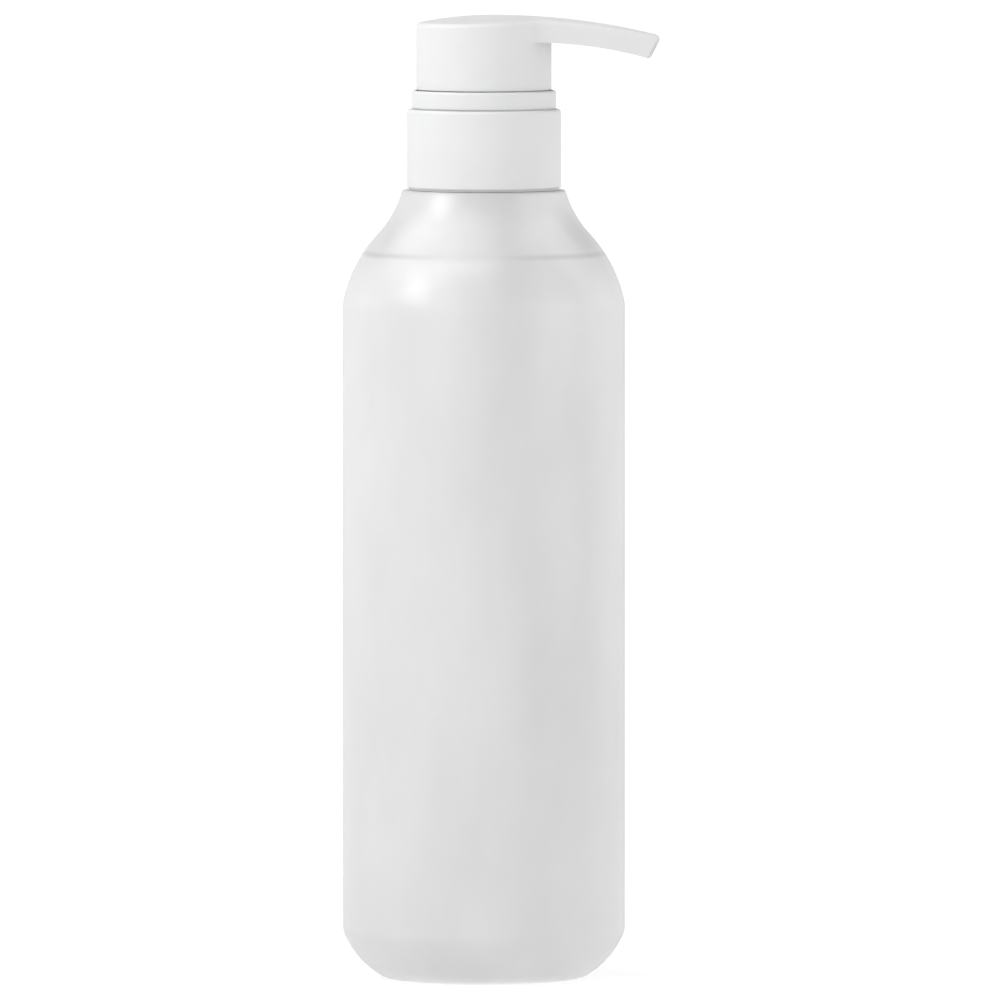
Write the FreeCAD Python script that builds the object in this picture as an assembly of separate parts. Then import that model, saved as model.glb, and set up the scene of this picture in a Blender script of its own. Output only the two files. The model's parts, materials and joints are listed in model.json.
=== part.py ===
import FreeCAD, Part
import math
import os

# A 500 ml shampoo bottle with a screw-on lotion pump. Millimetres, +Z up.
# The origin is on the bottle's axis, on the plane that its base stands on.
# The spout points along +X. The pump is at rest with its head up, ready to press.

V = FreeCAD.Vector
ORIGIN = V(0, 0, 0)
UP = V(0, 0, 1)

# ---- bottle ----
BODY_R = 32.5
WALL = 1.0
LEDGE_Z = 181.5  # the shelf that the closure sits over
BASE_BENDS = [(6.0, 24.0), (20.0, 36.0), (4.0, 30.0)]  # radius, turn: wall to base ring
SHOULDER_BENDS = [(9.7, 12.8), (32.7, 30.3), (22.9, -27.5)]  # round shoulder, then waist
LEDGE_BEND = 0.6
PUSH_UP_R = 15.0
PUSH_UP_H = 1.5
NECK_R = 10.75  # E of a 24 mm neck
NECK_BORE_R = 9.25
FINISH_H = 16.8  # H of a 24 mm neck
FILL_Z = 167.0
FILL_GAP = 0.15

# ---- thread, 8 turns to the inch ----
PITCH = 25.4 / 8
THREAD_R = 11.85  # T of a 24 mm neck
NECK_THREAD_Z = 191.5
NECK_THREAD_TURNS = 1.5
CAP_THREAD_R = 11.05
CAP_THREAD_TURNS = 2.0
THREAD_ROOT_W = 1.9
THREAD_CREST_W = 0.9
THREAD_SUNK = 0.3

# ---- closure ----
CAP_BORE_R = 12.15
CAP_R = 13.55
CAP_HOLE_R = 8.2
CAP_FLANGE_Z = 182.4
CAP_FLANGE_H = 1.6
CAP_RIBS = 8
CAP_RIB_TOP_Z = 190.0
SHELL_R = 17.75
SHELL_Z = 182.0
SHELL_TOP_Z = 200.1
RING_R = 16.6
RING_BORE_R = 15.85
RING_TOP_Z = 204.4
EDGE_R = 0.8

# ---- pump body ----
GASKET_H = 1.0
FLANGE_R = 11.2
FLANGE_H = 1.35
BARREL_R = 7.7
BARREL_BORE_R = 6.5
RIM_TOP_Z = 203.0
VENT_R = 0.5
VENT_Z = 196.0
SHOULDER_Z = 159.0  # inner step that the ball cage rests on
SEAT_TOP_R = 5.0
SEAT_LOW_R = 1.6
SEAT_HALF_ANGLE = math.atan(3 / 4)  # of both ball seats
TUBE_SOCKET_TOP_Z = 153.0
TUBE_SOCKET_LOW_Z = 143.0
TUBE_SOCKET_R = 4.3
TUBE_R = 3.0
TUBE_BORE_R = 2.2
TUBE_LOW_Z = 4.0
TUBE_CUT_DEG = 30.0
HOUSING_CAP_R = 9.3
HOUSING_CAP_Z = 202.2
HOUSING_CAP_TOP_Z = 203.9
CUP_R = 5.9
CUP_FLOOR_Z = 201.3
CUP_FLOOR_H = 1.2
GUIDE_R = 4.1

# ---- moving pump parts ----
STEM_R = 4.0
STEM_BORE_R = 1.8
STEM_LOW_Z = 186.0
STEM_TOP_Z = 216.0
BALL_R = 2.5
BALL_POCKET_R = 2.8
PISTON_Z = 190.0
PISTON_TOP_Z = 199.6
PISTON_LIP_R = 6.45
PISTON_BORE_R = 4.05
PLUG_FLANGE_R = 5.9
PLUG_FLANGE_H = 1.5
PLUG_R = 4.6
PLUG_LOW_Z = 184.8
SPRING_WIRE_R = 0.5
SPRING_MEAN_R = 5.4
SPRING_LOW_Z = 162.4
SPRING_TURNS = 8
CAGE_BORE_R = 3.2
CAGE_PLATE_Z = 161.2
CAGE_TOP_Z = 166.0
CAGE_COLLAR_R = 4.4
CAGE_HOLES = 6

# ---- head ----
HEAD_R = 15.55
HEAD_SKIRT_Z = 204.65
INNER_SKIRT_R = 14.95
INNER_SKIRT_Z = 201.6
HEAD_BORE_R = 13.95
APEX_X = 2.5
APEX_Z = 221.75
CROWN_BACK_R = 90.0
CROWN_FRONT_R = 157.0
CROWN_SIDE_R = 74.0
CROWN_WALL = 1.6
TIP_TOP_X = 40.8
TIP_SLANT = 2.4 / 4.55  # how far the end face runs back for each millimetre down
SPOUT_UNDER_X = 12.0
SPOUT_UNDER_Z = 215.65
SPOUT_UNDER_R = 94.0
SPOUT_ROOT_X = 16.0
SPOUT_ROOT_HALF = 8.5
SPOUT_TIP_HALF = 4.0
SPOUT_FILLET = 6.2
HEAD_EDGE_R = 1.2
SOCKET_R = 5.5
SOCKET_Z = 211.8
DUCT_R = 2.9
CHANNEL_R = 1.35
CHANNEL_START_Z = 217.3
CHANNEL_MID = (20.0, 217.85)
CHANNEL_END = (38.6, 213.95)
STOP_PIN_R = 1.0
STOP_PIN_Z = 217.4
CHAMBER_TOP_Z = 218.6
HEAD_RIBS = 5
HEAD_RIB_LOW_Z = 214.6
RIB_T = 0.8

FINISH_Z = LEDGE_Z + FINISH_H
FLANGE_Z = FINISH_Z + GASKET_H
CAP_TOP_Z = FLANGE_Z + FLANGE_H + 1.35
BIG = 60.0


class Outline:
    """A half section in the XZ plane, drawn as a path of straight runs and tangent arcs."""

    def __init__(self, x, z, heading=0.0):
        self.start = (x, z)
        self.at = (x, z)
        self.heading = math.radians(heading)
        self.edges = []

    def to(self, x, z):
        """A straight run to a point."""
        if math.hypot(x - self.at[0], z - self.at[1]) > 1e-7:
            self.edges.append(Part.LineSegment(point(*self.at), point(x, z)).toShape())
            self.heading = math.atan2(z - self.at[1], x - self.at[0])
            self.at = (x, z)
        return self

    def bend(self, radius, turn):
        """An arc tangent to the heading; a positive turn goes left."""
        half = math.radians(turn) / 2
        chord = 2 * radius * math.sin(abs(half))
        middle = 2 * radius * math.sin(abs(half) / 2)
        x, z = self.at
        end = (x + chord * math.cos(self.heading + half), z + chord * math.sin(self.heading + half))
        mid = (
            x + middle * math.cos(self.heading + half / 2),
            z + middle * math.sin(self.heading + half / 2),
        )
        self.edges.append(Part.Arc(point(x, z), point(*mid), point(*end)).toShape())
        self.heading += 2 * half
        self.at = end
        return self

    def bends(self, steps, inset=0.0):
        """Several arcs in a row, each moved inset to the left of the path."""
        for radius, turn in steps:
            self.bend(radius - math.copysign(inset, turn), turn)
        return self

    def through(self, mid, end):
        """An arc through a middle point to an end point."""
        self.edges.append(Part.Arc(point(*self.at), point(*mid), point(*end)).toShape())
        self.at = end
        return self

    def face(self):
        self.to(*self.start)
        return Part.Face(Part.Wire(self.edges))

    def revolved(self):
        return self.face().revolve(ORIGIN, UP, 360)


def point(x, z):
    return V(x, 0, z)


def section(*corners):
    """A turned solid from its straight-sided half section."""
    outline = Outline(*corners[0])
    for x, z in corners[1:]:
        outline.to(x, z)
    return outline.revolved()


def rod(radius, z0, z1):
    return Part.makeCylinder(radius, z1 - z0, V(0, 0, z0))


def tube(radius, bore, z0, z1):
    return rod(radius, z0, z1).cut(rod(bore, z0 - 1, z1 + 1))


def spokes(count, shape, first_deg=0.0):
    """Copies of a shape spaced evenly round the axis."""
    turned = []
    for i in range(count):
        copy = shape.copy()
        copy.rotate(ORIGIN, UP, first_deg + 360 * i / count)
        turned.append(copy)
    return turned


def bend_size(steps):
    """How far a row of arcs goes along its first heading, and to its left."""
    along, across, heading = 0.0, 0.0, 0.0
    for radius, turn in steps:
        after = heading + math.radians(abs(turn)) * math.copysign(1, turn)
        side = math.copysign(1, turn)
        along += side * radius * (math.sin(after) - math.sin(heading))
        across += side * radius * (math.cos(heading) - math.cos(after))
        heading = after
    return along, across


def thread(root_r, crest_r, z, turns):
    """A helical ridge whose root is sunk a little into its wall."""
    outward = math.copysign(1, crest_r - root_r)
    sunk_r = root_r - outward * THREAD_SUNK
    corners = [
        V(sunk_r, 0, -THREAD_ROOT_W / 2),
        V(crest_r, 0, -THREAD_CREST_W / 2),
        V(crest_r, 0, THREAD_CREST_W / 2),
        V(sunk_r, 0, THREAD_ROOT_W / 2),
    ]
    profile = Part.makePolygon(corners + corners[:1])
    helix = Part.makeHelix(PITCH, turns * PITCH, root_r)
    ridge = Part.Wire(helix.Edges).makePipeShell([profile], True, True)
    ridge.translate(V(0, 0, z))
    return ridge


# ---- bottle and filling ----


def body_outline(inset):
    """From the axis over the base, up the wall and round the shoulder to the waist."""
    corner_h, corner_in = bend_size(BASE_BENDS)
    ledge_turn = 90 - sum(turn for _, turn in SHOULDER_BENDS)
    rise, _ = bend_size(SHOULDER_BENDS + [(LEDGE_BEND, ledge_turn)])
    sphere_r = (PUSH_UP_R**2 + PUSH_UP_H**2) / (2 * PUSH_UP_H)
    sag = sphere_r - math.sqrt(sphere_r**2 - (PUSH_UP_R / 2) ** 2)
    outline = Outline(0, PUSH_UP_H + inset)
    outline.through((PUSH_UP_R / 2, PUSH_UP_H - sag + inset), (PUSH_UP_R, inset))
    outline.to(BODY_R - corner_in, inset)
    outline.bends(reversed(BASE_BENDS), inset)
    outline.to(BODY_R - inset, LEDGE_Z - rise)
    outline.bends(SHOULDER_BENDS, inset)
    return outline, ledge_turn


def bottle():
    outside, ledge_turn = body_outline(0.0)
    outside.bend(LEDGE_BEND, ledge_turn)
    outside.to(NECK_R, LEDGE_Z)
    outside.to(NECK_R, FINISH_Z - LEDGE_BEND).bend(LEDGE_BEND, 90)
    outside.to(0, FINISH_Z)
    inside, _ = body_outline(WALL)
    inside.to(NECK_BORE_R, LEDGE_Z - WALL)
    inside.to(NECK_BORE_R, FINISH_Z + 1).to(0, FINISH_Z + 1)
    shape = outside.revolved().cut(inside.revolved())
    ridge = thread(NECK_R, THREAD_R, NECK_THREAD_Z, NECK_THREAD_TURNS)
    return shape.fuse(ridge)


def shampoo():
    """The filling, clear of the wall, and of the pump as the closure lifts it."""
    inside, _ = body_outline(WALL + FILL_GAP)
    inside.to(0, LEDGE_Z - WALL)
    filled = inside.revolved().common(rod(BIG, -1, FILL_Z))
    room = section(
        (0, -1),
        (TUBE_R + 0.5, -1),
        (TUBE_R + 0.5, TUBE_SOCKET_LOW_Z - 0.5),
        (TUBE_SOCKET_R + 0.5, TUBE_SOCKET_LOW_Z - 0.5),
        (TUBE_SOCKET_R + 0.5, TUBE_SOCKET_TOP_Z - 1),
        (BARREL_R + 0.5, TUBE_SOCKET_TOP_Z - 1),
        (BARREL_R + 0.5, FILL_Z + 1),
        (0, FILL_Z + 1),
    )
    floor = rod(TUBE_R + 0.5, -1, TUBE_LOW_Z - 1)
    return filled.cut(room.cut(floor))


# ---- closure ----


def threaded_cap():
    flange_top = CAP_FLANGE_Z + CAP_FLANGE_H
    shape = section(
        (CAP_BORE_R, CAP_FLANGE_Z),
        (RING_R, CAP_FLANGE_Z),
        (RING_R, flange_top),
        (CAP_R, flange_top),
        (CAP_R, CAP_TOP_Z),
        (CAP_HOLE_R, CAP_TOP_Z),
        (CAP_HOLE_R, FLANGE_Z + FLANGE_H + 0.05),
        (CAP_BORE_R, FLANGE_Z + FLANGE_H + 0.05),
    )
    lowest = NECK_THREAD_Z - 1.5 * PITCH
    shape = shape.fuse(thread(CAP_BORE_R, CAP_THREAD_R, lowest, CAP_THREAD_TURNS))
    rib = Part.makeBox(
        RING_BORE_R - CAP_R + 0.3,
        RIB_T,
        CAP_RIB_TOP_Z - flange_top + 0.3,
        V(CAP_R - 0.4, -RIB_T / 2, flange_top - 0.3),
    )
    return shape.fuse(spokes(CAP_RIBS, rib))


def closure_shell():
    outline = Outline(RING_R, SHELL_Z)
    outline.to(SHELL_R - EDGE_R / 2, SHELL_Z).bend(EDGE_R / 2, 90)
    outline.to(SHELL_R, SHELL_TOP_Z - EDGE_R).bend(EDGE_R, 90)
    outline.to(RING_R, SHELL_TOP_Z)
    return outline.revolved()


def collar_ring():
    low = CAP_FLANGE_Z + CAP_FLANGE_H
    outline = Outline(RING_BORE_R, low)
    outline.to(RING_R, low).to(RING_R, RING_TOP_Z - 0.65).bend(0.65, 90)
    outline.to(RING_BORE_R, RING_TOP_Z)
    return outline.revolved()


# ---- pump body, lifted by the closure ----


def neck_gasket():
    return tube(FLANGE_R, NECK_BORE_R, FINISH_Z + 0.02, FLANGE_Z)


def seat_z(radius, ball_centre_z):
    """The height of a seat's cone at a radius, for a ball resting in it."""
    apex_z = ball_centre_z - BALL_R / math.sin(SEAT_HALF_ANGLE)
    return apex_z + radius / math.tan(SEAT_HALF_ANGLE)


INLET_BALL_Z = SHOULDER_Z - seat_z(SEAT_TOP_R, 0.0)
OUTLET_BALL_Z = STEM_TOP_Z - BALL_R - 0.6


def pump_housing():
    socket_slope_z = TUBE_SOCKET_TOP_Z + 0.5
    shape = section(
        (TUBE_R, TUBE_SOCKET_LOW_Z),
        (TUBE_SOCKET_R, TUBE_SOCKET_LOW_Z),
        (TUBE_SOCKET_R, socket_slope_z),
        (BARREL_R, socket_slope_z + 4.6),
        (BARREL_R, FLANGE_Z),
        (FLANGE_R, FLANGE_Z),
        (FLANGE_R, FLANGE_Z + FLANGE_H),
        (BARREL_R, FLANGE_Z + FLANGE_H),
        (BARREL_R, RIM_TOP_Z),
        (BARREL_BORE_R, RIM_TOP_Z),
        (BARREL_BORE_R, SHOULDER_Z),
        (SEAT_TOP_R, SHOULDER_Z),
        (SEAT_LOW_R, seat_z(SEAT_LOW_R, INLET_BALL_Z)),
        (SEAT_LOW_R, TUBE_SOCKET_TOP_Z),
        (TUBE_R, TUBE_SOCKET_TOP_Z),
    )
    vent = Part.makeCylinder(VENT_R, BARREL_R * 2, V(0, 0, VENT_Z), V(1, 0, 0))
    return shape.cut(vent)


def housing_cap():
    bridge_z = RIM_TOP_Z + 0.02
    return section(
        (GUIDE_R, CUP_FLOOR_Z - CUP_FLOOR_H),
        (BARREL_BORE_R - 0.02, CUP_FLOOR_Z - CUP_FLOOR_H),
        (BARREL_BORE_R - 0.02, bridge_z),
        (BARREL_R + 0.05, bridge_z),
        (BARREL_R + 0.05, HOUSING_CAP_Z),
        (HOUSING_CAP_R, HOUSING_CAP_Z),
        (HOUSING_CAP_R, HOUSING_CAP_TOP_Z - 0.3),
        (HOUSING_CAP_R - 0.3, HOUSING_CAP_TOP_Z),
        (CUP_R, HOUSING_CAP_TOP_Z),
        (CUP_R, CUP_FLOOR_Z),
        (GUIDE_R, CUP_FLOOR_Z),
    )


def ball_cage():
    body = section(
        (CAGE_BORE_R, SHOULDER_Z),
        (BARREL_BORE_R - 0.02, SHOULDER_Z),
        (BARREL_BORE_R - 0.02, SPRING_LOW_Z),
        (CAGE_COLLAR_R, SPRING_LOW_Z),
        (CAGE_COLLAR_R, CAGE_TOP_Z - 0.6),
        (CAGE_COLLAR_R - 0.6, CAGE_TOP_Z),
        (CAGE_BORE_R, CAGE_TOP_Z),
    )
    plate = rod(CAGE_BORE_R + 0.1, CAGE_PLATE_Z, SPRING_LOW_Z)
    hole = Part.makeCylinder(0.75, 3, V(1.95, 0, CAGE_PLATE_Z - 1))
    return body.fuse(plate).cut(spokes(CAGE_HOLES, hole))


def dip_tube():
    straight = tube(TUBE_R, TUBE_BORE_R, TUBE_LOW_Z, TUBE_SOCKET_TOP_Z)
    below = Part.makeBox(BIG, BIG, BIG, V(-BIG / 2, -BIG / 2, -BIG))
    below.rotate(ORIGIN, V(0, 1, 0), TUBE_CUT_DEG)
    below.translate(V(-TUBE_R, 0, TUBE_LOW_Z + 2 * TUBE_R * math.tan(math.radians(TUBE_CUT_DEG))))
    return straight.cut(below)


# ---- piston, spring, stem and valves ----


def piston_seal():
    """A sleeve with a flared lip at each end that wipes the barrel."""
    waist = PISTON_LIP_R - 0.9
    return section(
        (PISTON_BORE_R, PISTON_Z),
        (waist, PISTON_Z),
        (PISTON_LIP_R - 0.5, PISTON_Z - 0.6),
        (PISTON_LIP_R, PISTON_Z - 0.6),
        (PISTON_LIP_R, PISTON_Z + 0.6),
        (waist, PISTON_Z + 2.2),
        (waist, PISTON_TOP_Z - 2.2),
        (PISTON_LIP_R, PISTON_TOP_Z - 0.8),
        (PISTON_LIP_R, PISTON_TOP_Z),
        (PISTON_LIP_R - 0.5, PISTON_TOP_Z),
        (waist, PISTON_TOP_Z - 0.6),
        (PISTON_BORE_R, PISTON_TOP_Z - 0.6),
    )


def stem():
    pocket_z = seat_z(BALL_POCKET_R, OUTLET_BALL_Z)
    return section(
        (STEM_BORE_R, STEM_LOW_Z),
        (STEM_R, STEM_LOW_Z),
        (STEM_R, STEM_TOP_Z),
        (BALL_POCKET_R, STEM_TOP_Z),
        (BALL_POCKET_R, pocket_z),
        (STEM_BORE_R, seat_z(STEM_BORE_R, OUTLET_BALL_Z)),
    )


def stem_plug():
    """A cup round the stem's lower end, with the flange that the spring pushes up."""
    flange_top = PISTON_Z - 0.65
    return section(
        (STEM_BORE_R, PLUG_LOW_Z),
        (PLUG_R - 0.6, PLUG_LOW_Z),
        (PLUG_R, PLUG_LOW_Z + 0.6),
        (PLUG_R, flange_top - PLUG_FLANGE_H),
        (PLUG_FLANGE_R, flange_top - PLUG_FLANGE_H),
        (PLUG_FLANGE_R, flange_top),
        (STEM_R, flange_top),
        (STEM_R, STEM_LOW_Z),
        (STEM_BORE_R, STEM_LOW_Z),
    )


def return_spring():
    top = PISTON_Z - 0.65 - PLUG_FLANGE_H - 0.05
    low = SPRING_LOW_Z + 0.02
    rise = top - low - 2 * SPRING_WIRE_R
    helix = Part.makeHelix(rise / SPRING_TURNS, rise, SPRING_MEAN_R)
    wire_end = Part.Circle(V(SPRING_MEAN_R, 0, 0), V(0, 1, 0), SPRING_WIRE_R).toShape()
    coil = Part.Wire(helix.Edges).makePipeShell([Part.Wire(wire_end)], True, True)
    coil.translate(V(0, 0, low + SPRING_WIRE_R))
    return coil


def ball(centre_z):
    return Part.makeSphere(BALL_R, V(0, 0, centre_z + 0.03))


# ---- head ----


def crown(drop=0.0):
    """All below the head's top surface, which curves along the spout and across it."""
    tip_drop = CROWN_FRONT_R - math.sqrt(CROWN_FRONT_R**2 - (TIP_TOP_X - APEX_X) ** 2)
    tip_z = APEX_Z - tip_drop
    back_x = -BIG / 2
    back_drop = CROWN_BACK_R - math.sqrt(CROWN_BACK_R**2 - (back_x - APEX_X) ** 2)
    low_z = APEX_Z - CROWN_SIDE_R / 2
    mid_back = (APEX_X + back_x) / 2
    mid_front = (APEX_X + TIP_TOP_X) / 2
    outline = Outline(back_x, APEX_Z - back_drop)
    outline.through((mid_back, arc_z(mid_back, CROWN_BACK_R)), (APEX_X, APEX_Z))
    outline.through((mid_front, arc_z(mid_front, CROWN_FRONT_R)), (TIP_TOP_X, tip_z))
    outline.to(TIP_TOP_X - (tip_z - low_z) * TIP_SLANT, low_z).to(back_x, low_z)
    face = outline.face()
    axis_at = V(0, 0, APEX_Z - CROWN_SIDE_R)
    reach = 16.0
    face.rotate(axis_at, V(1, 0, 0), -reach)
    shape = face.revolve(axis_at, V(1, 0, 0), 2 * reach)
    shape.translate(V(0, 0, -drop))
    return shape


def arc_z(x, radius):
    return APEX_Z - radius + math.sqrt(radius**2 - (x - APEX_X) ** 2)


def head_plan():
    """The head seen from above: a circle that runs into the tapered spout by two fillets."""
    far_x = TIP_TOP_X + 5
    taper = math.atan((SPOUT_ROOT_HALF - SPOUT_TIP_HALF) / (TIP_TOP_X - SPOUT_ROOT_X))
    along = V(math.cos(taper), -math.sin(taper), 0)
    outward = V(math.sin(taper), math.cos(taper), 0)
    side = V(SPOUT_ROOT_X, SPOUT_ROOT_HALF, 0).dot(outward)
    reach = math.sqrt((HEAD_R + SPOUT_FILLET) ** 2 - (side + SPOUT_FILLET) ** 2)
    centre = outward * (side + SPOUT_FILLET) + along * reach
    on_circle = centre * (HEAD_R / (HEAD_R + SPOUT_FILLET))
    on_side = centre - outward * SPOUT_FILLET
    between = (on_circle + on_side) * 0.5 - centre
    mid = centre + between * (SPOUT_FILLET / between.Length)
    end = on_side + along * ((far_x - on_side.x) / along.x)

    def mirrored(p):
        return V(p.x, -p.y, 0)

    edges = [
        Part.Arc(on_circle, V(-HEAD_R, 0, 0), mirrored(on_circle)).toShape(),
        Part.Arc(mirrored(on_circle), mirrored(mid), mirrored(on_side)).toShape(),
        Part.LineSegment(mirrored(on_side), mirrored(end)).toShape(),
        Part.LineSegment(mirrored(end), end).toShape(),
        Part.LineSegment(end, on_side).toShape(),
        Part.Arc(on_side, mid, on_circle).toShape(),
    ]
    return Part.Face(Part.Wire(Part.__sortEdges__(edges)))


def above_spout_underside():
    far_x = TIP_TOP_X + 4
    drop = SPOUT_UNDER_R - math.sqrt(SPOUT_UNDER_R**2 - (far_x - SPOUT_UNDER_X) ** 2)
    mid_x = (SPOUT_UNDER_X + far_x) / 2
    mid_drop = SPOUT_UNDER_R - math.sqrt(SPOUT_UNDER_R**2 - (mid_x - SPOUT_UNDER_X) ** 2)
    outline = Outline(-BIG / 2, SPOUT_UNDER_Z)
    outline.to(SPOUT_UNDER_X, SPOUT_UNDER_Z)
    outline.through((mid_x, SPOUT_UNDER_Z - mid_drop), (far_x, SPOUT_UNDER_Z - drop))
    outline.to(far_x, APEX_Z + 5).to(-BIG / 2, APEX_Z + 5)
    face = outline.face()
    face.translate(V(0, -BIG / 2, 0))
    return face.extrude(V(0, BIG, 0))


def slope_up(face, edge):
    """How far up a face looks, half way along one of its edges."""
    at = edge.valueAt((edge.FirstParameter + edge.LastParameter) / 2)
    u, v = face.Surface.parameter(at)
    return face.normalAt(u, v).z


def sharp_edges(shape, lowest_z):
    """The edges between the crown or the underside and the upright sides."""
    found = []
    for edge in shape.Edges:
        faces = shape.ancestorsOfType(edge, Part.Face)
        if len(faces) != 2 or edge.BoundBox.ZMin < lowest_z or edge.Length < 1e-3:
            continue
        lift = sorted(abs(slope_up(face, edge)) for face in faces)
        if lift[0] < 0.6 and lift[1] > 0.8:
            found.append(edge)
    return found


def channel(radius, end_x):
    """A round bar along the liquid's path from the valve to the tip."""
    start = V(0, 0, CHANNEL_START_Z)
    mid = V(CHANNEL_MID[0], 0, CHANNEL_MID[1])
    tip = V(CHANNEL_END[0], 0, CHANNEL_END[1])
    centre = Part.Arc(start, mid, tip).toShape().Curve.Center
    first = math.atan2(start.x - centre.x, start.z - centre.z)
    last = math.asin((end_x - centre.x) / (start - centre).Length)
    circle = Part.Circle(start, V(math.cos(first), 0, -math.sin(first)), radius)
    disc = Part.Face(Part.Wire(circle.toShape()))
    return disc.revolve(centre, V(0, 1, 0), math.degrees(last - first))


def pump_head():
    lifted = head_plan()
    lifted.translate(V(0, 0, SPOUT_UNDER_Z - 12))
    upper = lifted.extrude(V(0, 0, 30)).common(above_spout_underside()).common(crown())
    skirt = rod(HEAD_R, HEAD_SKIRT_Z, SPOUT_UNDER_Z + 0.5).common(crown())
    shape = upper.fuse(skirt).fuse(rod(INNER_SKIRT_R, INNER_SKIRT_Z, HEAD_SKIRT_Z + 0.5))
    shape = shape.removeSplitter()
    shape = shape.makeFillet(HEAD_EDGE_R, sharp_edges(shape, SPOUT_UNDER_Z + 0.6))
    hollow = rod(HEAD_BORE_R, INNER_SKIRT_Z - 1, APEX_Z).common(crown(CROWN_WALL))
    rib = Part.makeBox(HEAD_BORE_R, RIB_T, APEX_Z, V(0, -RIB_T / 2, HEAD_RIB_LOW_Z))
    inner = rod(SOCKET_R, SOCKET_Z, APEX_Z).fuse(channel(DUCT_R, HEAD_BORE_R + 1))
    inner = inner.fuse([r for r in spokes(HEAD_RIBS + 1, rib)][1:])
    shape = shape.cut(hollow.cut(inner))
    bore = rod(STEM_R, SOCKET_Z - 1, STEM_TOP_Z).fuse(rod(BALL_POCKET_R, STEM_TOP_Z, CHAMBER_TOP_Z))
    bore = bore.cut(rod(STOP_PIN_R, STOP_PIN_Z, APEX_Z))
    path = channel(CHANNEL_R, TIP_TOP_X + 4).cut(rod(STOP_PIN_R, STOP_PIN_Z, APEX_Z))
    return shape.cut(bore).cut(path)


NODES = {
    "bottle": bottle,
    "shampoo": shampoo,
    "threaded_cap": threaded_cap,
    "closure_shell": closure_shell,
    "collar_ring": collar_ring,
    "neck_gasket": neck_gasket,
    "pump_housing": pump_housing,
    "housing_cap": housing_cap,
    "ball_cage": ball_cage,
    "dip_tube": dip_tube,
    "piston_seal": piston_seal,
    "stem": stem,
    "stem_plug": stem_plug,
    "return_spring": return_spring,
    "inlet_ball": lambda: ball(INLET_BALL_Z),
    "outlet_ball": lambda: ball(OUTLET_BALL_Z),
    "pump_head": pump_head,
}

os.makedirs("parts", exist_ok=True)
for name, make in NODES.items():
    shape = make()
    if shape.ShapeType == "Compound" and len(shape.Solids) == 1:
        shape = shape.Solids[0]
    shape.exportStep("parts/" + name + ".step")
    box = shape.BoundBox
    print(
        f"{name:14s} solids {len(shape.Solids)} valid {shape.isValid()} volume {shape.Volume:9.1f}"
        f"  z {box.ZMin:7.2f} to {box.ZMax:7.2f}  x {box.XMin:7.2f} to {box.XMax:7.2f}"
    )
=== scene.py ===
# %% [markdown]
# # A shampoo bottle with a lotion pump
# A frosted bottle holds white shampoo. A screw closure clamps a lotion pump to its neck,
# and a push head with a long spout sits on the pump's stem. The engineering model is loaded
# first and stays fixed. Every piece made here lies where that model says, in metres.

import json
import math

import bpy
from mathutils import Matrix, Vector
from mathutils.kdtree import KDTree


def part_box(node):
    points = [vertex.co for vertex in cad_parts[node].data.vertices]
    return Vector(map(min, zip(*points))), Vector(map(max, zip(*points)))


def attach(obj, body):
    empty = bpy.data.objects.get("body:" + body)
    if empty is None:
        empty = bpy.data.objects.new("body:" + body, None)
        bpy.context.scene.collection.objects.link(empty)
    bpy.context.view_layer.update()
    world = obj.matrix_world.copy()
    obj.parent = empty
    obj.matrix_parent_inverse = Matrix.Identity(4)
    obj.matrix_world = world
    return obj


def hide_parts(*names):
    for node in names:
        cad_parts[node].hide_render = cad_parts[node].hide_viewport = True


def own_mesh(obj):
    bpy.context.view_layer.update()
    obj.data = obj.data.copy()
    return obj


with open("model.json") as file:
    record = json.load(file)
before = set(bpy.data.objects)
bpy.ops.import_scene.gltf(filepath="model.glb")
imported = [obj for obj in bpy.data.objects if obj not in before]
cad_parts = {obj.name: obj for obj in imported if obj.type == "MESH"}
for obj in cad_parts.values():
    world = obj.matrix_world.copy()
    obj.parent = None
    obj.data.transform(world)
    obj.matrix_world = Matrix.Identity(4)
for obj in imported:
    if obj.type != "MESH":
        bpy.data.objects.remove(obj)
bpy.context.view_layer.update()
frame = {"nodes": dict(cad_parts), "record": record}
MM = 0.001

# %% [markdown]
# ## The camera
# A product shot is taken from far away with a long lens, so that the bottle's sides stay
# parallel. The camera stands a little to the spout's side and a little above, and its aim is a
# touch to the spout's side of the axis, so that spout and bottle sit well in the square.

# %% Camera
VIEW_AZIMUTH = math.radians(4.5)
VIEW_ELEVATION = math.radians(3.25)
VIEW_DISTANCE = 4.7
VIEW_WIDTH = 230.1 * MM
AIM_HEIGHT = 110.05 * MM
AIM_RIGHT = 3.7 * MM
SENSOR = 36.0

scene = bpy.context.scene
right = Vector((math.cos(VIEW_AZIMUTH), math.sin(VIEW_AZIMUTH), 0))
back = Vector((math.sin(VIEW_AZIMUTH), -math.cos(VIEW_AZIMUTH), 0)) * math.cos(VIEW_ELEVATION)
back.z = math.sin(VIEW_ELEVATION)
aim = right * AIM_RIGHT + Vector((0, 0, AIM_HEIGHT))
lens = bpy.data.cameras.new("product_camera")
lens.sensor_width = SENSOR
lens.lens = SENSOR * VIEW_DISTANCE / VIEW_WIDTH
lens.clip_end = 50
camera = bpy.data.objects.new("product_camera", lens)
scene.collection.objects.link(camera)
camera.location = aim + back * VIEW_DISTANCE
camera.rotation_euler = back.to_track_quat("Z", "Y").to_euler()
scene.camera = camera
print("lens", round(lens.lens), "mm at", VIEW_DISTANCE, "m")

# %% [markdown]
# ## Building node trees
# Shader trees and Geometry Nodes trees are both nodes and links. One small class adds a node
# from its type, its settings and the values or links of its sockets. Another wraps a socket, so
# that plain arithmetic on it adds the Math nodes.


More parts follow.
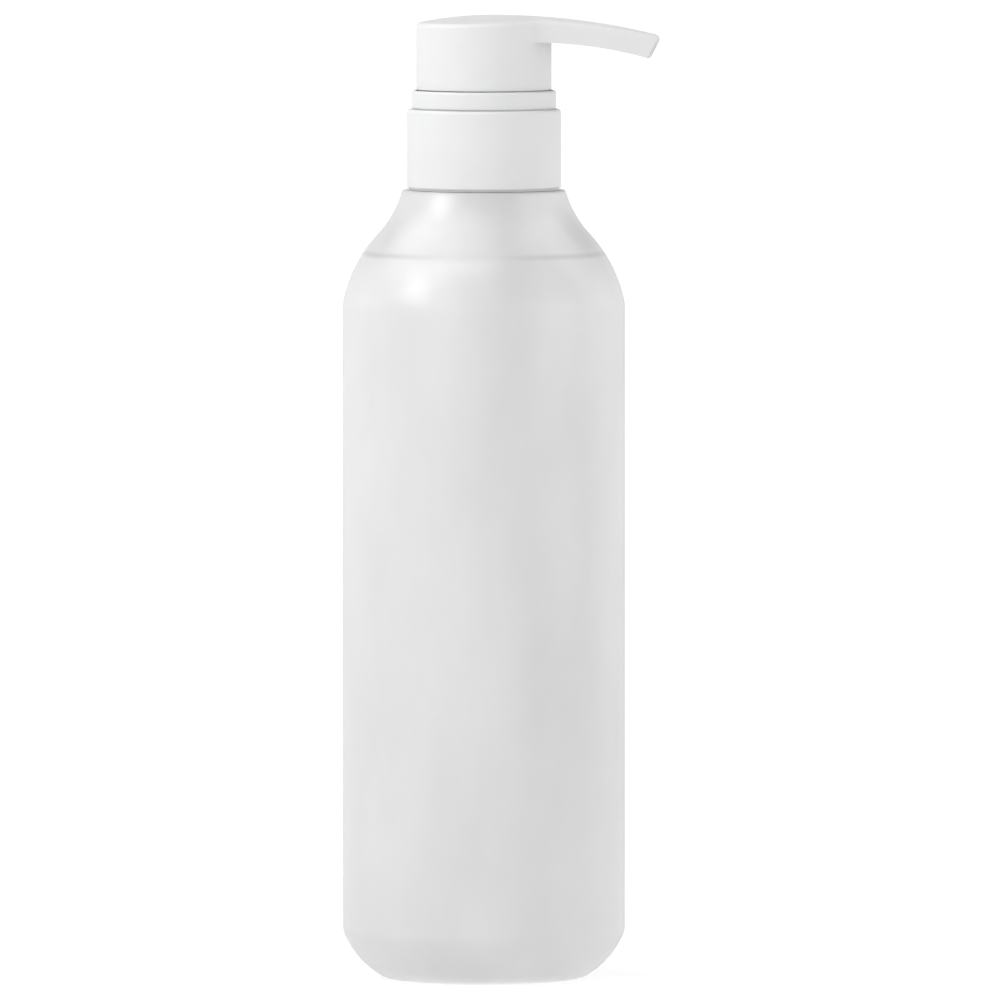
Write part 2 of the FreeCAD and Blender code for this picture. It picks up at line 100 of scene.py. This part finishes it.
# %% Helpers for node trees
class Value:
    """A socket that can be used in arithmetic."""

    def __init__(self, graph, socket):
        self.graph, self.socket = graph, socket

    def maths(self, operation, a, b):
        return self.graph.add("ShaderNodeMath", {"operation": operation}, {0: a, 1: b})

    def __add__(self, other):
        return self.maths("ADD", self, other)

    __radd__ = __add__

    def __sub__(self, other):
        return self.maths("SUBTRACT", self, other)

    def __rsub__(self, other):
        return self.maths("SUBTRACT", other, self)

    def __mul__(self, other):
        return self.maths("MULTIPLY", self, other)

    __rmul__ = __mul__

    def __truediv__(self, other):
        return self.maths("DIVIDE", self, other)

    def __rtruediv__(self, other):
        return self.maths("DIVIDE", other, self)

    def __pow__(self, other):
        return self.maths("POWER", self, other)


class Graph:
    """Adds nodes to one tree."""

    def __init__(self, tree):
        self.tree = tree

    def add(self, kind, settings=None, sockets=None, output=0):
        """A new node: its settings first, then the values or links of its sockets."""
        node = self.tree.nodes.new(kind)
        for name, value in (settings or {}).items():
            setattr(node, name, value)
        for name, value in (sockets or {}).items():
            if isinstance(value, Value):
                self.tree.links.new(value.socket, node.inputs[name])
            else:
                node.inputs[name].default_value = value
        return Value(self, node.outputs[output]) if len(node.outputs) else node


print("node helpers ready")

# %% [markdown]
# ## Turned shapes
# The bottle, its filling, the closure and its ring are round, so each is half an outline turned
# about the axis. An outline is drawn as a pen would draw it: straight runs, and arcs that leave
# in the direction that the pen already has, so that round stretches meet without a kink.

# %% Outline
ARC_STEP = math.radians(3)


class Outline:
    """Half a section, as points of radius and height in millimetres."""

    def __init__(self, radius, height, heading=0.0):
        self.points = [(radius, height)]
        self.heading = math.radians(heading)

    def to(self, radius, height):
        last = self.points[-1]
        self.heading = math.atan2(height - last[1], radius - last[0])
        self.points.append((radius, height))
        return self

    def bend(self, radius, turn):
        """An arc that starts along the heading. A positive turn goes left."""
        turn = math.radians(turn)
        steps = max(3, math.ceil(abs(turn) / ARC_STEP))
        chord = 2 * radius * math.sin(abs(turn) / steps / 2)
        for _ in range(steps):
            self.heading += turn / steps / 2
            r, z = self.points[-1]
            self.points.append((r + chord * math.cos(self.heading),
                                z + chord * math.sin(self.heading)))
            self.heading += turn / steps / 2
        return self

    def bends(self, steps, inset=0.0):
        """Arcs in a row, moved inset to the left of the path."""
        for radius, turn in steps:
            self.bend(radius - math.copysign(inset, turn), turn)
        return self

    def corner(self, size, turn=90):
        """A rounded corner where the next run starts."""
        return self.bend(size, turn)


print("an arc is cut every", round(math.degrees(ARC_STEP), 1), "degrees")

# %% [markdown]
# Geometry Nodes can turn an outline about an axis: Curve to Mesh carries the outline round a
# guide circle. The outline's distances are counted from that circle, so the circle's own radius
# drops out. Merge by Distance closes the poles, and Flip Faces turns the skin outwards.

# %% The lathe
GUIDE = 10 * MM
ROUND_SEGMENTS = 192


def group(name, inputs):
    """An empty Geometry Nodes tree with named inputs, and its two ends."""
    tree = bpy.data.node_groups.new(name, "GeometryNodeTree")
    tree.interface.new_socket("Geometry", in_out="INPUT", socket_type="NodeSocketGeometry")
    for label, kind in inputs:
        tree.interface.new_socket(label, in_out="INPUT", socket_type=kind)
    tree.interface.new_socket("Geometry", in_out="OUTPUT", socket_type="NodeSocketGeometry")
    start = tree.nodes.new("NodeGroupInput")
    graph = Graph(tree)
    given = {socket.name: Value(graph, socket) for socket in start.outputs if socket.name}
    return tree, graph, given


def finished(graph, shape, material):
    """The end that every tree shares: real geometry, with its material."""
    real = graph.add("GeometryNodeRealizeInstances", sockets={0: shape})
    dressed = graph.add("GeometryNodeSetMaterial", sockets={0: real, "Material": material})
    end = graph.tree.nodes.new("NodeGroupOutput")
    graph.tree.links.new(dressed.socket, end.inputs[0])


def lathe_tree():
    inputs = [("Segments", "NodeSocketInt"), ("Guide radius", "NodeSocketFloat"),
              ("Material", "NodeSocketMaterial")]
    tree, graph, given = group("lathe", inputs)
    circle = graph.add("GeometryNodeCurvePrimitiveCircle",
                       sockets={"Resolution": given["Segments"], "Radius": given["Guide radius"]})
    skin = graph.add("GeometryNodeCurveToMesh",
                     sockets={"Curve": circle, "Profile Curve": given["Geometry"]})
    closed = graph.add("GeometryNodeMergeByDistance", sockets={"Geometry": skin, "Distance": 1e-6})
    outward = graph.add("GeometryNodeFlipFaces", sockets={"Mesh": closed})
    finished(graph, outward, given["Material"])
    return tree


LATHE = lathe_tree()


def apply_tree(obj, tree, values):
    """Run a tree on an object and keep its result as a plain mesh object of the same name."""
    modifier = obj.modifiers.new("shape", "NODES")
    modifier.node_group = tree
    for item in tree.interface.items_tree:
        if item.in_out == "INPUT" and item.name in values:
            modifier[item.identifier] = values[item.name]
    bpy.context.view_layer.update()
    evaluated = obj.evaluated_get(bpy.context.evaluated_depsgraph_get())
    mesh = bpy.data.meshes.new_from_object(evaluated)
    name = obj.name
    bpy.data.objects.remove(obj)
    made = bpy.data.objects.new(name, mesh)
    mesh.name = name
    scene.collection.objects.link(made)
    return made


def smooth(obj, angle=32):
    """Smooth shading, with edges sharper than the angle kept crisp."""
    mesh = obj.data
    mesh.polygons.foreach_set("use_smooth", [True] * len(mesh.polygons))
    mesh.set_sharp_from_angle(angle=math.radians(angle))
    mesh.update()
    return obj


def poly_curve(name, points, closed):
    """A curve object with one straight-sided spline."""
    curve = bpy.data.curves.new(name, "CURVE")
    curve.dimensions = "3D"
    spline = curve.splines.new("POLY")
    spline.points.add(len(points) - 1)
    for spot, point in zip(spline.points, points):
        spot.co = (*point, 1)
    spline.use_cyclic_u = closed
    obj = bpy.data.objects.new(name, curve)
    scene.collection.objects.link(obj)
    return obj


def turned(name, outline, material, closed=False):
    """A piece from its half section. closed joins the outline's end to its start."""
    points = [(r * MM - GUIDE, -z * MM, 0) for r, z in outline.points]
    values = {"Segments": ROUND_SEGMENTS, "Guide radius": GUIDE, "Material": material}
    piece = smooth(apply_tree(poly_curve(name, points, closed), LATHE, values))
    print(name, "has", len(piece.data.polygons), "faces")
    return piece


# %% [markdown]
# ## Finishes
# Every finish is a Principled shader whose colour, roughness and bump vary a little, as moulded
# plastic's do. All patterns read Object coordinates, so they keep their size on any piece.


# %% Helpers for finishes
def finish(name, **constants):
    """A new material with one Principled shader whose constant sockets are set."""
    material = bpy.data.materials.new(name)
    material.use_nodes = True
    tree = material.node_tree
    tree.nodes.clear()
    graph = Graph(tree)
    shader = tree.nodes.new("ShaderNodeBsdfPrincipled")
    for label, value in constants.items():
        shader.inputs[label.replace("_", " ")].default_value = value
    out = tree.nodes.new("ShaderNodeOutputMaterial")
    tree.links.new(shader.outputs[0], out.inputs["Surface"])
    return material, graph, shader


def feed(shader, **links):
    for label, value in links.items():
        shader.id_data.links.new(value.socket, shader.inputs[label.replace("_", " ")])


def noise(graph, size, detail=2.0, stretch=(1, 1, 1)):
    """Soft noise from 0 to 1 whose lumps are about size millimetres across."""
    place = graph.add("ShaderNodeTexCoord", output=3)
    scaled = graph.add("ShaderNodeMapping", sockets={"Vector": place, "Scale": stretch})
    return graph.add("ShaderNodeTexNoise", sockets={
        "Vector": scaled, "Scale": 1 / (size * MM), "Detail": detail})


def tint(graph, share, dark, light):
    """A colour between two, by a share from 0 to 1."""
    mix = graph.add("ShaderNodeMix", {"data_type": "RGBA", "clamp_factor": True},
                    {0: share, 6: (*dark, 1), 7: (*light, 1)}, output=2)
    return mix


def tint_between(graph, share, colour, other):
    """A varying colour that turns into another one."""
    return graph.add("ShaderNodeMix", {"data_type": "RGBA", "clamp_factor": True},
                     {0: share, 6: colour, 7: (*other, 1)}, output=2)


def bump(graph, height, depth, strength=1.0):
    """A bump from a height of 0 to 1, depth millimetres deep."""
    return graph.add("ShaderNodeBump", sockets={
        "Height": height, "Distance": depth * MM, "Strength": strength})


def grey(level):
    return (level, level, level)


def axes(graph):
    """The object's own x, y and z."""
    place = graph.add("ShaderNodeTexCoord", output=3)
    split = graph.add("ShaderNodeSeparateXYZ", sockets={0: place}).socket.node
    return [Value(graph, out) for out in split.outputs]


def size_of(graph, value):
    """The value without its sign."""
    return graph.add("ShaderNodeMath", {"operation": "ABSOLUTE"}, {0: value})


def ramp(graph, value, low, high):
    """A soft step: 0 below low, 1 above high. With low above high it falls."""
    return graph.add("ShaderNodeMapRange", {"interpolation_type": "SMOOTHSTEP"},
                     {"Value": value, 1: low, 2: high, 3: 0.0, 4: 1.0})


print("finish helpers ready")

# %% [markdown]
# ### Frosted bottle plastic
# The bottle is translucent plastic. Its outer skin is matt: half of the light scatters there and
# half goes through roughly, which gives the pale haze and lets the level of the shampoo show
# through softly. Its inner face is clear. A blown wall is never quite even, so slow clouds
# change its tone by a percent or two. A darker band at the shampoo's level is painted shade,
# stronger towards the sides.

# %% Frosted bottle plastic
INNER_FACE = "inner_face"
LEVEL_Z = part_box("shampoo")[1].z


def frosted_plastic():
    material, graph, shader = finish("frosted_plastic", IOR=1.46, Transmission_Weight=0.5,
                                     Coat_Weight=0.8, Coat_Roughness=0.37, Coat_IOR=1.5)
    clouds = noise(graph, 20, 4, (1, 1, 0.45))
    grain = noise(graph, 0.35, 2)
    x, _, z = axes(graph)
    sideways = ramp(graph, size_of(graph, x), 4 * MM, 20 * MM)
    # painted shade: a darker band where the shampoo's level meets the wall, stronger towards the
    # sides
    line = ramp(graph, size_of(graph, z - LEVEL_Z), 0.9 * MM, 0.1 * MM)
    haze = tint(graph, ramp(graph, clouds, 0.3, 0.7), grey(0.85), grey(0.91))
    painted_level_shade = tint(graph, line * (0.1 + 0.9 * sideways), grey(1.0), grey(0.82))
    feed(shader,
         Base_Color=graph.add("ShaderNodeVectorMath", {"operation": "MULTIPLY"},
                              {0: haze, 1: painted_level_shade}),
         Roughness=0.38 + 0.08 * clouds + 0.04 * grain,
         Normal=bump(graph, grain, 0.004))
    tree = material.node_tree
    clear = tree.nodes.new("ShaderNodeBsdfPrincipled")
    clear.inputs["Base Color"].default_value = (1, 1, 1, 1)
    clear.inputs["Transmission Weight"].default_value = 1.0
    clear.inputs["Roughness"].default_value = 0.2
    clear.inputs["IOR"].default_value = 1.46
    inner = graph.add("ShaderNodeAttribute", {"attribute_name": INNER_FACE}, output=2)
    both = graph.add("ShaderNodeMixShader", sockets={
        0: inner, 1: Value(graph, shader.outputs[0]), 2: Value(graph, clear.outputs[0])})
    out = next(node for node in tree.nodes if node.type == "OUTPUT_MATERIAL")
    tree.links.new(both.socket, out.inputs["Surface"])
    return material


# %% [markdown]
# ### White pump plastic
# The closure, ring and head are white polypropylene from a polished mould: smooth, with a soft
# shine. It scatters a little light under its skin, which keeps its shadows pale. The cut end of
# the spout is painted darker, as painted shade for its shaded face and dark mouth, so its grey
# follows the distance from that slanted cut.


# %% White pump plastic
TIP_X = 40.8 * MM
TIP_Z = 217.0 * MM
TIP_SLANT = 0.527


def white_plastic():
    material, graph, shader = finish("white_plastic", IOR=1.49, Subsurface_Weight=0.15,
                                     Subsurface_Scale=0.002)
    flow = noise(graph, 9, 2)
    grain = noise(graph, 0.25, 2)
    x, _, z = axes(graph)
    # painted shade: the spout's cut end and mouth are coloured darker
    before_end = TIP_X - TIP_SLANT * (TIP_Z - z) - x
    end = ramp(graph, before_end, 0.4 * MM, 0.1 * MM)
    white = tint(graph, flow, grey(0.625), grey(0.645))
    feed(shader,
         Base_Color=tint_between(graph, end, white, grey(0.52)),
         Roughness=0.42 + 0.05 * flow + 0.04 * grain,
         Normal=bump(graph, grain, 0.0015))
    return material


# %% [markdown]
# ### Shampoo
# The shampoo is an opaque white cream with a faint pearl, drawn as slow noise stretched upwards.
# Where its level meets the wall a darker band of painted shade draws the fill line. A soft
# upright streak of painted shade and a lower part darkened by painted shade are drawn as well.

# %% Shampoo
LEVEL_SHADE_HALF = 1.4 * MM
SHADE_STREAK_X = 6.5 * MM
SHADE_STREAK_HALF = 9.0 * MM


def shampoo_finish():
    material, graph, shader = finish("shampoo", IOR=1.38)
    x, _, z = axes(graph)
    pearl = noise(graph, 30, 4, (1, 1, 0.5))
    # painted shade: a darker band round the shampoo's level draws the fill line
    line = ramp(graph, size_of(graph, z - LEVEL_Z), LEVEL_SHADE_HALF, 0.2 * LEVEL_SHADE_HALF)
    # painted shade: a soft upright darker streak beside the axis, fading out lower down
    painted_streak_shade = ramp(graph, size_of(graph, x - SHADE_STREAK_X), SHADE_STREAK_HALF, 0.0)
    painted_streak_shade = painted_streak_shade * ramp(graph, z, 100 * MM, 150 * MM)
    shade = tint(graph, line, grey(1.0), grey(0.7))
    painted_streak_tint = tint(graph, painted_streak_shade, grey(1.0), grey(0.75))
    # painted shade: the cream is coloured darker towards the bottom
    painted_low_shade = ramp(graph, z, 110 * MM, 5 * MM)
    cream = tint(graph, pearl - painted_low_shade, grey(0.82), grey(0.96))
    shaded = graph.add("ShaderNodeVectorMath", {"operation": "MULTIPLY"}, {0: cream, 1: shade})
    feed(shader,
         Base_Color=graph.add("ShaderNodeVectorMath", {"operation": "MULTIPLY"},
                              {0: shaded, 1: painted_streak_tint}),
         Roughness=0.25 + 0.15 * pearl)
    return material


# %% [markdown]
# ### Inner plastics, steel, glass and foam
# The pieces inside the pump are plain: uncoloured plastic, a drawn steel spring, glass balls
# and a foam gasket. Each still gets its own grain.


# %% Inner finishes
def natural_plastic():
    material, graph, shader = finish("natural_plastic", IOR=1.5, Transmission_Weight=0.2)
    flow = noise(graph, 5, 2)
    feed(shader,
         Base_Color=tint(graph, flow, (0.8, 0.82, 0.81), (0.87, 0.88, 0.87)),
         Roughness=0.35 + 0.1 * flow,
         Normal=bump(graph, flow, 0.02))
    return material


def spring_steel():
    material, graph, shader = finish("spring_steel", Metallic=1.0)
    drawn = noise(graph, 0.4, 3, (1, 1, 0.2))
    feed(shader,
         Base_Color=tint(graph, drawn, (0.5, 0.5, 0.49), (0.68, 0.68, 0.66)),
         Roughness=0.18 + 0.15 * drawn)
    return material


def ball_glass():
    material, graph, shader = finish("ball_glass", IOR=1.52, Transmission_Weight=1.0)
    swirl = noise(graph, 2, 2)
    feed(shader,
         Base_Color=tint(graph, swirl, (0.8, 0.9, 0.86), (0.9, 0.97, 0.94)),
         Roughness=0.02 + 0.04 * swirl)
    return material


def foam_gasket():
    material, graph, shader = finish("foam_gasket", IOR=1.45)
    cells = noise(graph, 0.3, 3)
    feed(shader,
         Base_Color=tint(graph, cells, grey(0.72), grey(0.86)),
         Roughness=0.75 + 0.15 * cells,
         Normal=bump(graph, cells, 0.06))
    return material


FINISHES = {
    "frosted_plastic": frosted_plastic(),
    "white_plastic": white_plastic(),
    "shampoo": shampoo_finish(),
    "natural_plastic": natural_plastic(),
    "spring_steel": spring_steel(),
    "ball_glass": ball_glass(),
    "foam_gasket": foam_gasket(),
}
print("finishes", ", ".join(FINISHES))

# %% [markdown]
# ## Dressing the carried-over pieces
# The head and the pieces inside the pump already have their right shape, so each keeps its mesh
# and takes the finish that its record names.

# %% Dress the nodes
slots = {entry["node"]: entry["material_slot"] for entry in frame["record"]["subparts"]}
for name, node in frame["nodes"].items():
    node.data.materials.clear()
    node.data.materials.append(FINISHES[slots[name]])
print("dressed", len(slots), "nodes")


def placed(piece, node):
    """The piece stands for a node: it rides on the node's body, and the node is hidden."""
    members = frame["record"]["behaviour"]["bodies"]
    body = next(name for name, nodes in members.items() if node in nodes)
    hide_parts(node)
    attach(piece, body)
    return piece


# %% [markdown]
# ## The bottle
# The body is blown: a straight wall, a round shoulder that runs into a hollow waist, a rounded
# base with a shallow push-up, and a neck, drawn plain without its thread. One closed outline
# gives the wall both its faces, so that light passes through real plastic. Its driving sizes are
# those of the engineering model, and its heights hang from that model's own boxes.

# %% Bottle sizes
WALL = 1.0
BASE_BENDS = [(6.0, 24.0), (20.0, 36.0), (4.0, 30.0)]
SHOULDER_BENDS = [(9.7, 12.8), (32.7, 30.3), (22.9, -27.5)]
LEDGE_BEND = 0.6
PUSH_UP_R = 15.0
PUSH_UP_H = 1.5
NECK_R = 10.75
NECK_BORE_R = 9.25
BODY_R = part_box("bottle")[1].x / MM
FINISH_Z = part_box("bottle")[1].z / MM
LEDGE_Z = FINISH_Z - 16.8
FILL_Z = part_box("shampoo")[1].z / MM
LEDGE_TURN = 90 - sum(turn for _, turn in SHOULDER_BENDS)


def bend_size(steps):
    """How far a row of arcs goes along its first heading, and across it."""
    along, across, heading = 0.0, 0.0, 0.0
    for radius, turn in steps:
        after = heading + math.radians(turn)
        side = math.copysign(radius, turn)
        along += side * (math.sin(after) - math.sin(heading))
        across += side * (math.cos(heading) - math.cos(after))
        heading = after
    return along, across


BASE_R = BODY_R - bend_size(BASE_BENDS)[1]
SHOULDER_Z = LEDGE_Z - bend_size(SHOULDER_BENDS + [(LEDGE_BEND, LEDGE_TURN)])[0]
print("straight wall from", round(bend_size(BASE_BENDS)[0], 1), "to", round(SHOULDER_Z, 1), "mm")

# %% [markdown]
# ### The bottle's wall
# The same arcs draw both faces of the wall. The inner face is the outer one moved in by the
# wall's thickness, so the wall stays even round the base and the shoulder. The inner points are
# marked, because the plastic is clear there and matt outside.


# %% Bottle outline
def body_side(inset):
    """From the push-up's middle, round the base and up to the waist's end."""
    sphere = (PUSH_UP_R**2 + PUSH_UP_H**2) / (2 * PUSH_UP_H)
    tilt = math.degrees(math.asin(PUSH_UP_R / sphere))
    side = Outline(0, PUSH_UP_H + inset)
    side.bend(sphere, -tilt)
    side.to(BASE_R, inset)
    side.bends(reversed(BASE_BENDS), inset)
    side.to(BODY_R - inset, SHOULDER_Z)
    side.bends(SHOULDER_BENDS, inset)
    return side


def bottle_outline():
    """The whole wall: up the outside, then down the inside from the mouth."""
    outside = body_side(0)
    outside.bend(LEDGE_BEND, LEDGE_TURN)
    outside.to(NECK_R + 0.5, LEDGE_Z).bend(0.5, -90)
    outside.to(NECK_R, FINISH_Z - 0.5).bend(0.5, 90)
    outside.to(NECK_BORE_R + 0.4, FINISH_Z).bend(0.4, 90)
    inside = body_side(WALL)
    inside.to(NECK_BORE_R, LEDGE_Z - WALL)
    outer_count = len(outside.points)
    outside.points += reversed(inside.points)
    return outside, outer_count


def mark_inner_face(piece, outline, outer_count):
    """Write 1 on the points that come from the outline's inner part, and 0 on the others."""
    finder = KDTree(len(outline.points))
    for i, (r, z) in enumerate(outline.points):
        finder.insert((r * MM, z * MM, 0), i)
    finder.balance()
    mark = piece.data.attributes.new(INNER_FACE, "FLOAT", "POINT")
    for i, vertex in enumerate(piece.data.vertices):
        spot = (math.hypot(vertex.co.x, vertex.co.y), vertex.co.z, 0)
        mark.data[i].value = float(finder.find(spot)[1] >= outer_count)
    print("inner points", sum(item.value > 0 for item in mark.data))


wall_outline, outer_count = bottle_outline()
bottle = turned("bottle_wall", wall_outline, FINISHES["frosted_plastic"])
mark_inner_face(bottle, wall_outline, outer_count)
placed(bottle, "bottle")

# %% [markdown]
# ## The shampoo
# The filling follows the inside of the wall and climbs it a little at the top, as liquids do.
# It leaves room for the dip tube and the pump's barrel, which rise with the closure.

# %% Shampoo outline
FILL_GAP = 0.15
MENISCUS = 1.2
TUBE_ROOM_R = 3.5
SOCKET_ROOM_R = 4.8
BARREL_ROOM_R = 8.2


def shampoo_outline():
    side = body_side(WALL + FILL_GAP)
    below = [p for p in side.points if p[1] <= FILL_Z]
    above = side.points[len(below)]
    last = below[-1]
    share = (FILL_Z - last[1]) / (above[1] - last[1])
    edge_r = last[0] + share * (above[0] - last[0])
    filled = Outline(*below[0])
    filled.points = below + [(edge_r, FILL_Z)]
    filled.heading = math.pi
    for step in (0.15, 0.4, 1.0):
        filled.to(edge_r - MENISCUS * 2 * step, FILL_Z - MENISCUS * (1 - (1 - step) ** 2) / 3)
    level = filled.points[-1][1]
    socket_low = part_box("pump_housing")[0].z / MM
    filled.to(BARREL_ROOM_R, level)
    filled.to(BARREL_ROOM_R, socket_low + 9)
    filled.to(SOCKET_ROOM_R, socket_low + 9)
    filled.to(SOCKET_ROOM_R, socket_low - 0.5)
    filled.to(TUBE_ROOM_R, socket_low - 0.5)
    filled.to(TUBE_ROOM_R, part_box("dip_tube")[0].z / MM - 1)
    filled.to(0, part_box("dip_tube")[0].z / MM - 1)
    return filled


shampoo = turned("shampoo_fill", shampoo_outline(), FINISHES["shampoo"])
placed(shampoo, "shampoo")

# %% [markdown]
# ## The closure's shell and ring
# Both are plain turned rings with softly rounded edges. The shell is pressed over the ring, and
# the ring's rolled top meets the head. The ring steps in where it leaves the shell, which draws
# a fine shadow line, and a small lip in the shell's mouth nearly closes the gap above the
# bottle's ledge.

# %% Shell and ring
EDGE = 0.8
LIP_R = 17.2
LIP_DROP = 0.4
SHADOW_GAP = 0.35
SHELL_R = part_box("closure_shell")[1].x / MM
SHELL_LOW, SHELL_TOP = (corner.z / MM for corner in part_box("closure_shell"))
RING_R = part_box("collar_ring")[1].x / MM
RING_LOW, RING_TOP = (corner.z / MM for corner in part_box("collar_ring"))
RING_BORE_R = RING_R - 0.75
RING_ROLL = 0.65


def shell_outline():
    shell = Outline(RING_R, SHELL_LOW - LIP_DROP)
    shell.to(LIP_R, SHELL_LOW - LIP_DROP).to(LIP_R, SHELL_LOW)
    shell.to(SHELL_R - EDGE / 2, SHELL_LOW).corner(EDGE / 2)
    shell.to(SHELL_R, SHELL_TOP - EDGE).corner(EDGE)
    shell.to(RING_R, SHELL_TOP)
    return shell


def ring_outline():
    ring = Outline(RING_BORE_R, RING_LOW)
    ring.to(RING_R, RING_LOW)
    ring.to(RING_R, SHELL_TOP - 0.3)
    ring.to(RING_R - SHADOW_GAP, SHELL_TOP - 0.3)
    ring.to(RING_R - SHADOW_GAP, SHELL_TOP + SHADOW_GAP)
    ring.to(RING_R, SHELL_TOP + SHADOW_GAP)
    ring.to(RING_R, RING_TOP - RING_ROLL).corner(RING_ROLL)
    ring.to(RING_BORE_R, RING_TOP)
    return ring


shell = turned("closure_shell_skin", shell_outline(), FINISHES["white_plastic"], closed=True)
placed(shell, "closure_shell")
ring = turned("collar_ring_skin", ring_outline(), FINISHES["white_plastic"], closed=True)
placed(ring, "collar_ring")

# %% [markdown]
# ## The return spring
# The pump's spring is a wire wound round the axis, with its end turns lying nearly flat. Geometry
# Nodes bends a straight line into that path and sweeps a round wire along it. When the head is
# pressed the spring rides down with the piston.

# %% Spring
WIRE_R = 0.5 * MM
SPRING_R = 5.4 * MM
SPRING_TURNS = 9
SPRING_STEPS = 400
END_SHARE = 0.1


def spring_tree():
    inputs = [("Turns", "NodeSocketFloat"), ("Radius", "NodeSocketFloat"),
              ("Low", "NodeSocketFloat"), ("High", "NodeSocketFloat"),
              ("Wire radius", "NodeSocketFloat"), ("Material", "NodeSocketMaterial")]
    tree, graph, given = group("spring", inputs)
    line = graph.add("GeometryNodeResampleCurve",
                     sockets={"Curve": given["Geometry"], "Count": SPRING_STEPS})
    share = graph.add("GeometryNodeSplineParameter")
    turn = share * given["Turns"] * (2 * math.pi)
    cosine = graph.add("ShaderNodeMath", {"operation": "COSINE"}, {0: turn})
    sine = graph.add("ShaderNodeMath", {"operation": "SINE"}, {0: turn})
    climb = ramp(graph, share, END_SHARE, 1 - END_SHARE)
    flat = given["Wire radius"] * (2 * share)
    rise = given["High"] - given["Low"] - given["Wire radius"] * 4
    height = given["Low"] + given["Wire radius"] + flat + climb * rise
    place = graph.add("ShaderNodeCombineXYZ", sockets={
        0: cosine * given["Radius"], 1: sine * given["Radius"], 2: height})
    path = graph.add("GeometryNodeSetPosition", sockets={"Geometry": line, "Position": place})
    wire = graph.add("GeometryNodeCurvePrimitiveCircle",
                     sockets={"Resolution": 14, "Radius": given["Wire radius"]})
    coil = graph.add("GeometryNodeCurveToMesh",
                     sockets={"Curve": path, "Profile Curve": wire, "Fill Caps": True})
    finished(graph, coil, given["Material"])
    return tree


spring_low, spring_high = (corner.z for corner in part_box("return_spring"))
values = {"Turns": float(SPRING_TURNS), "Radius": SPRING_R, "Low": spring_low,
          "High": spring_high, "Wire radius": WIRE_R, "Material": FINISHES["spring_steel"]}
straight = poly_curve("return_spring_wire", [(0, 0, spring_low), (0, 0, spring_high)], False)
spring = smooth(apply_tree(straight, spring_tree(), values), 50)
placed(spring, "return_spring")
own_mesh(spring)

# %% [markdown]
# ## The studio
# The bottle stands on a wide white table in a pale room. The table glows a little, less near
# the bottle, so that it stays white without lighting the bottle's base too strongly. It reaches
# far on every side, so the bottle can be looked at from all round.

# %% Table
TABLE_RINGS = (0.5, 2.0, 9.0)
TABLE_SIDES = 96
NEAR, FAR = 0.3, 2.5


def table():
    """A wide flat disc: a fan in the middle and bands of faces round it."""
    vertices = [(0, 0, 0)]
    for radius in TABLE_RINGS:
        for i in range(TABLE_SIDES):
            angle = 2 * math.pi * i / TABLE_SIDES
            vertices.append((radius * math.cos(angle), radius * math.sin(angle), 0))
    sides = [(i, (i + 1) % TABLE_SIDES) for i in range(TABLE_SIDES)]
    faces = [(0, 1 + i, 1 + j) for i, j in sides]
    for band in range(len(TABLE_RINGS) - 1):
        near = 1 + band * TABLE_SIDES
        far = near + TABLE_SIDES
        faces += [(near + i, far + i, far + j, near + j) for i, j in sides]
    mesh = bpy.data.meshes.new("table")
    mesh.from_pydata(vertices, [], faces)
    obj = bpy.data.objects.new("table", mesh)
    scene.collection.objects.link(obj)
    material, graph, shader = finish("white_table", Roughness=0.9, Emission_Strength=1.0)
    x, y, _ = axes(graph)
    away = (x * x + y * y) ** 0.5
    far = ramp(graph, away, NEAR, FAR)
    feed(shader, Base_Color=tint(graph, far, grey(0.25), grey(0.26)),
         Emission_Color=tint(graph, far, grey(0.78), grey(1.0)))
    mesh.materials.append(material)
    return obj


print("table", len(table().data.polygons), "faces")

# %% [markdown]
# ### The room
# The room is a white sky without walls: white all round, as the backdrop of a product shot is,
# and dark overhead, so that the light on the shoulder comes from the lamps. Its colour follows
# the height of the direction looked at.

# %% Room
HORIZON = 1.0
ZENITH = 0.05


def room():
    """A room that is white all round and darker overhead."""
    world = bpy.data.worlds.new("room")
    world.use_nodes = True
    graph = Graph(world.node_tree)
    direction = graph.add("ShaderNodeTexCoord")
    split = graph.add("ShaderNodeSeparateXYZ", sockets={0: direction}).socket.node
    overhead = ramp(graph, Value(graph, split.outputs[2]), 0.15, 0.6)
    colour = tint(graph, overhead, grey(HORIZON), grey(ZENITH))
    light = world.node_tree.nodes["Background"]
    world.node_tree.links.new(colour.socket, light.inputs["Color"])
    scene.world = world
    return world


scene.view_settings.view_transform = "Standard"
print("room", room().name, "from", HORIZON, "down to", ZENITH)

# %% [markdown]
# ### The lights
# Large square lamps stand round the bottle. The strongest are above it and behind it, and
# brighten the shoulder and the sides. The lamp at the left is the smallest, and draws the bright
# spot on the shoulder. The lamps in front only lift the shadows.


# %% Lights
def softbox(name, azimuth, elevation, distance, size, power):
    """A square light that looks at the bottle. Azimuth 0 is the camera's side, -90 the left."""
    a = math.radians(azimuth) + VIEW_AZIMUTH
    e = math.radians(elevation)
    away = Vector((math.sin(a) * math.cos(e), -math.cos(a) * math.cos(e), math.sin(e)))
    light = bpy.data.lights.new(name, "AREA")
    light.size = size
    light.energy = power
    obj = bpy.data.objects.new(name, light)
    scene.collection.objects.link(obj)
    obj.location = Vector((0, 0, AIM_HEIGHT)) + away * distance
    obj.rotation_euler = away.to_track_quat("Z", "Y").to_euler()
    return obj


softbox("key_left", -64, 35, 1.2, 0.45, 5.0)
softbox("front_left", -38, 12, 1.6, 0.9, 1.8)
softbox("front", 10, 20, 1.8, 1.1, 3.0)
softbox("fill_right", 64, 14, 1.6, 0.8, 2.9)
softbox("rim_right", 112, 14, 1.6, 0.9, 2.5)
softbox("top", -25, 66, 1.6, 1.2, 9.4)
softbox("rim_left", -114, 54, 1.5, 0.9, 7.2)
softbox("rim_back", 110, 50, 1.5, 0.9, 5.4)
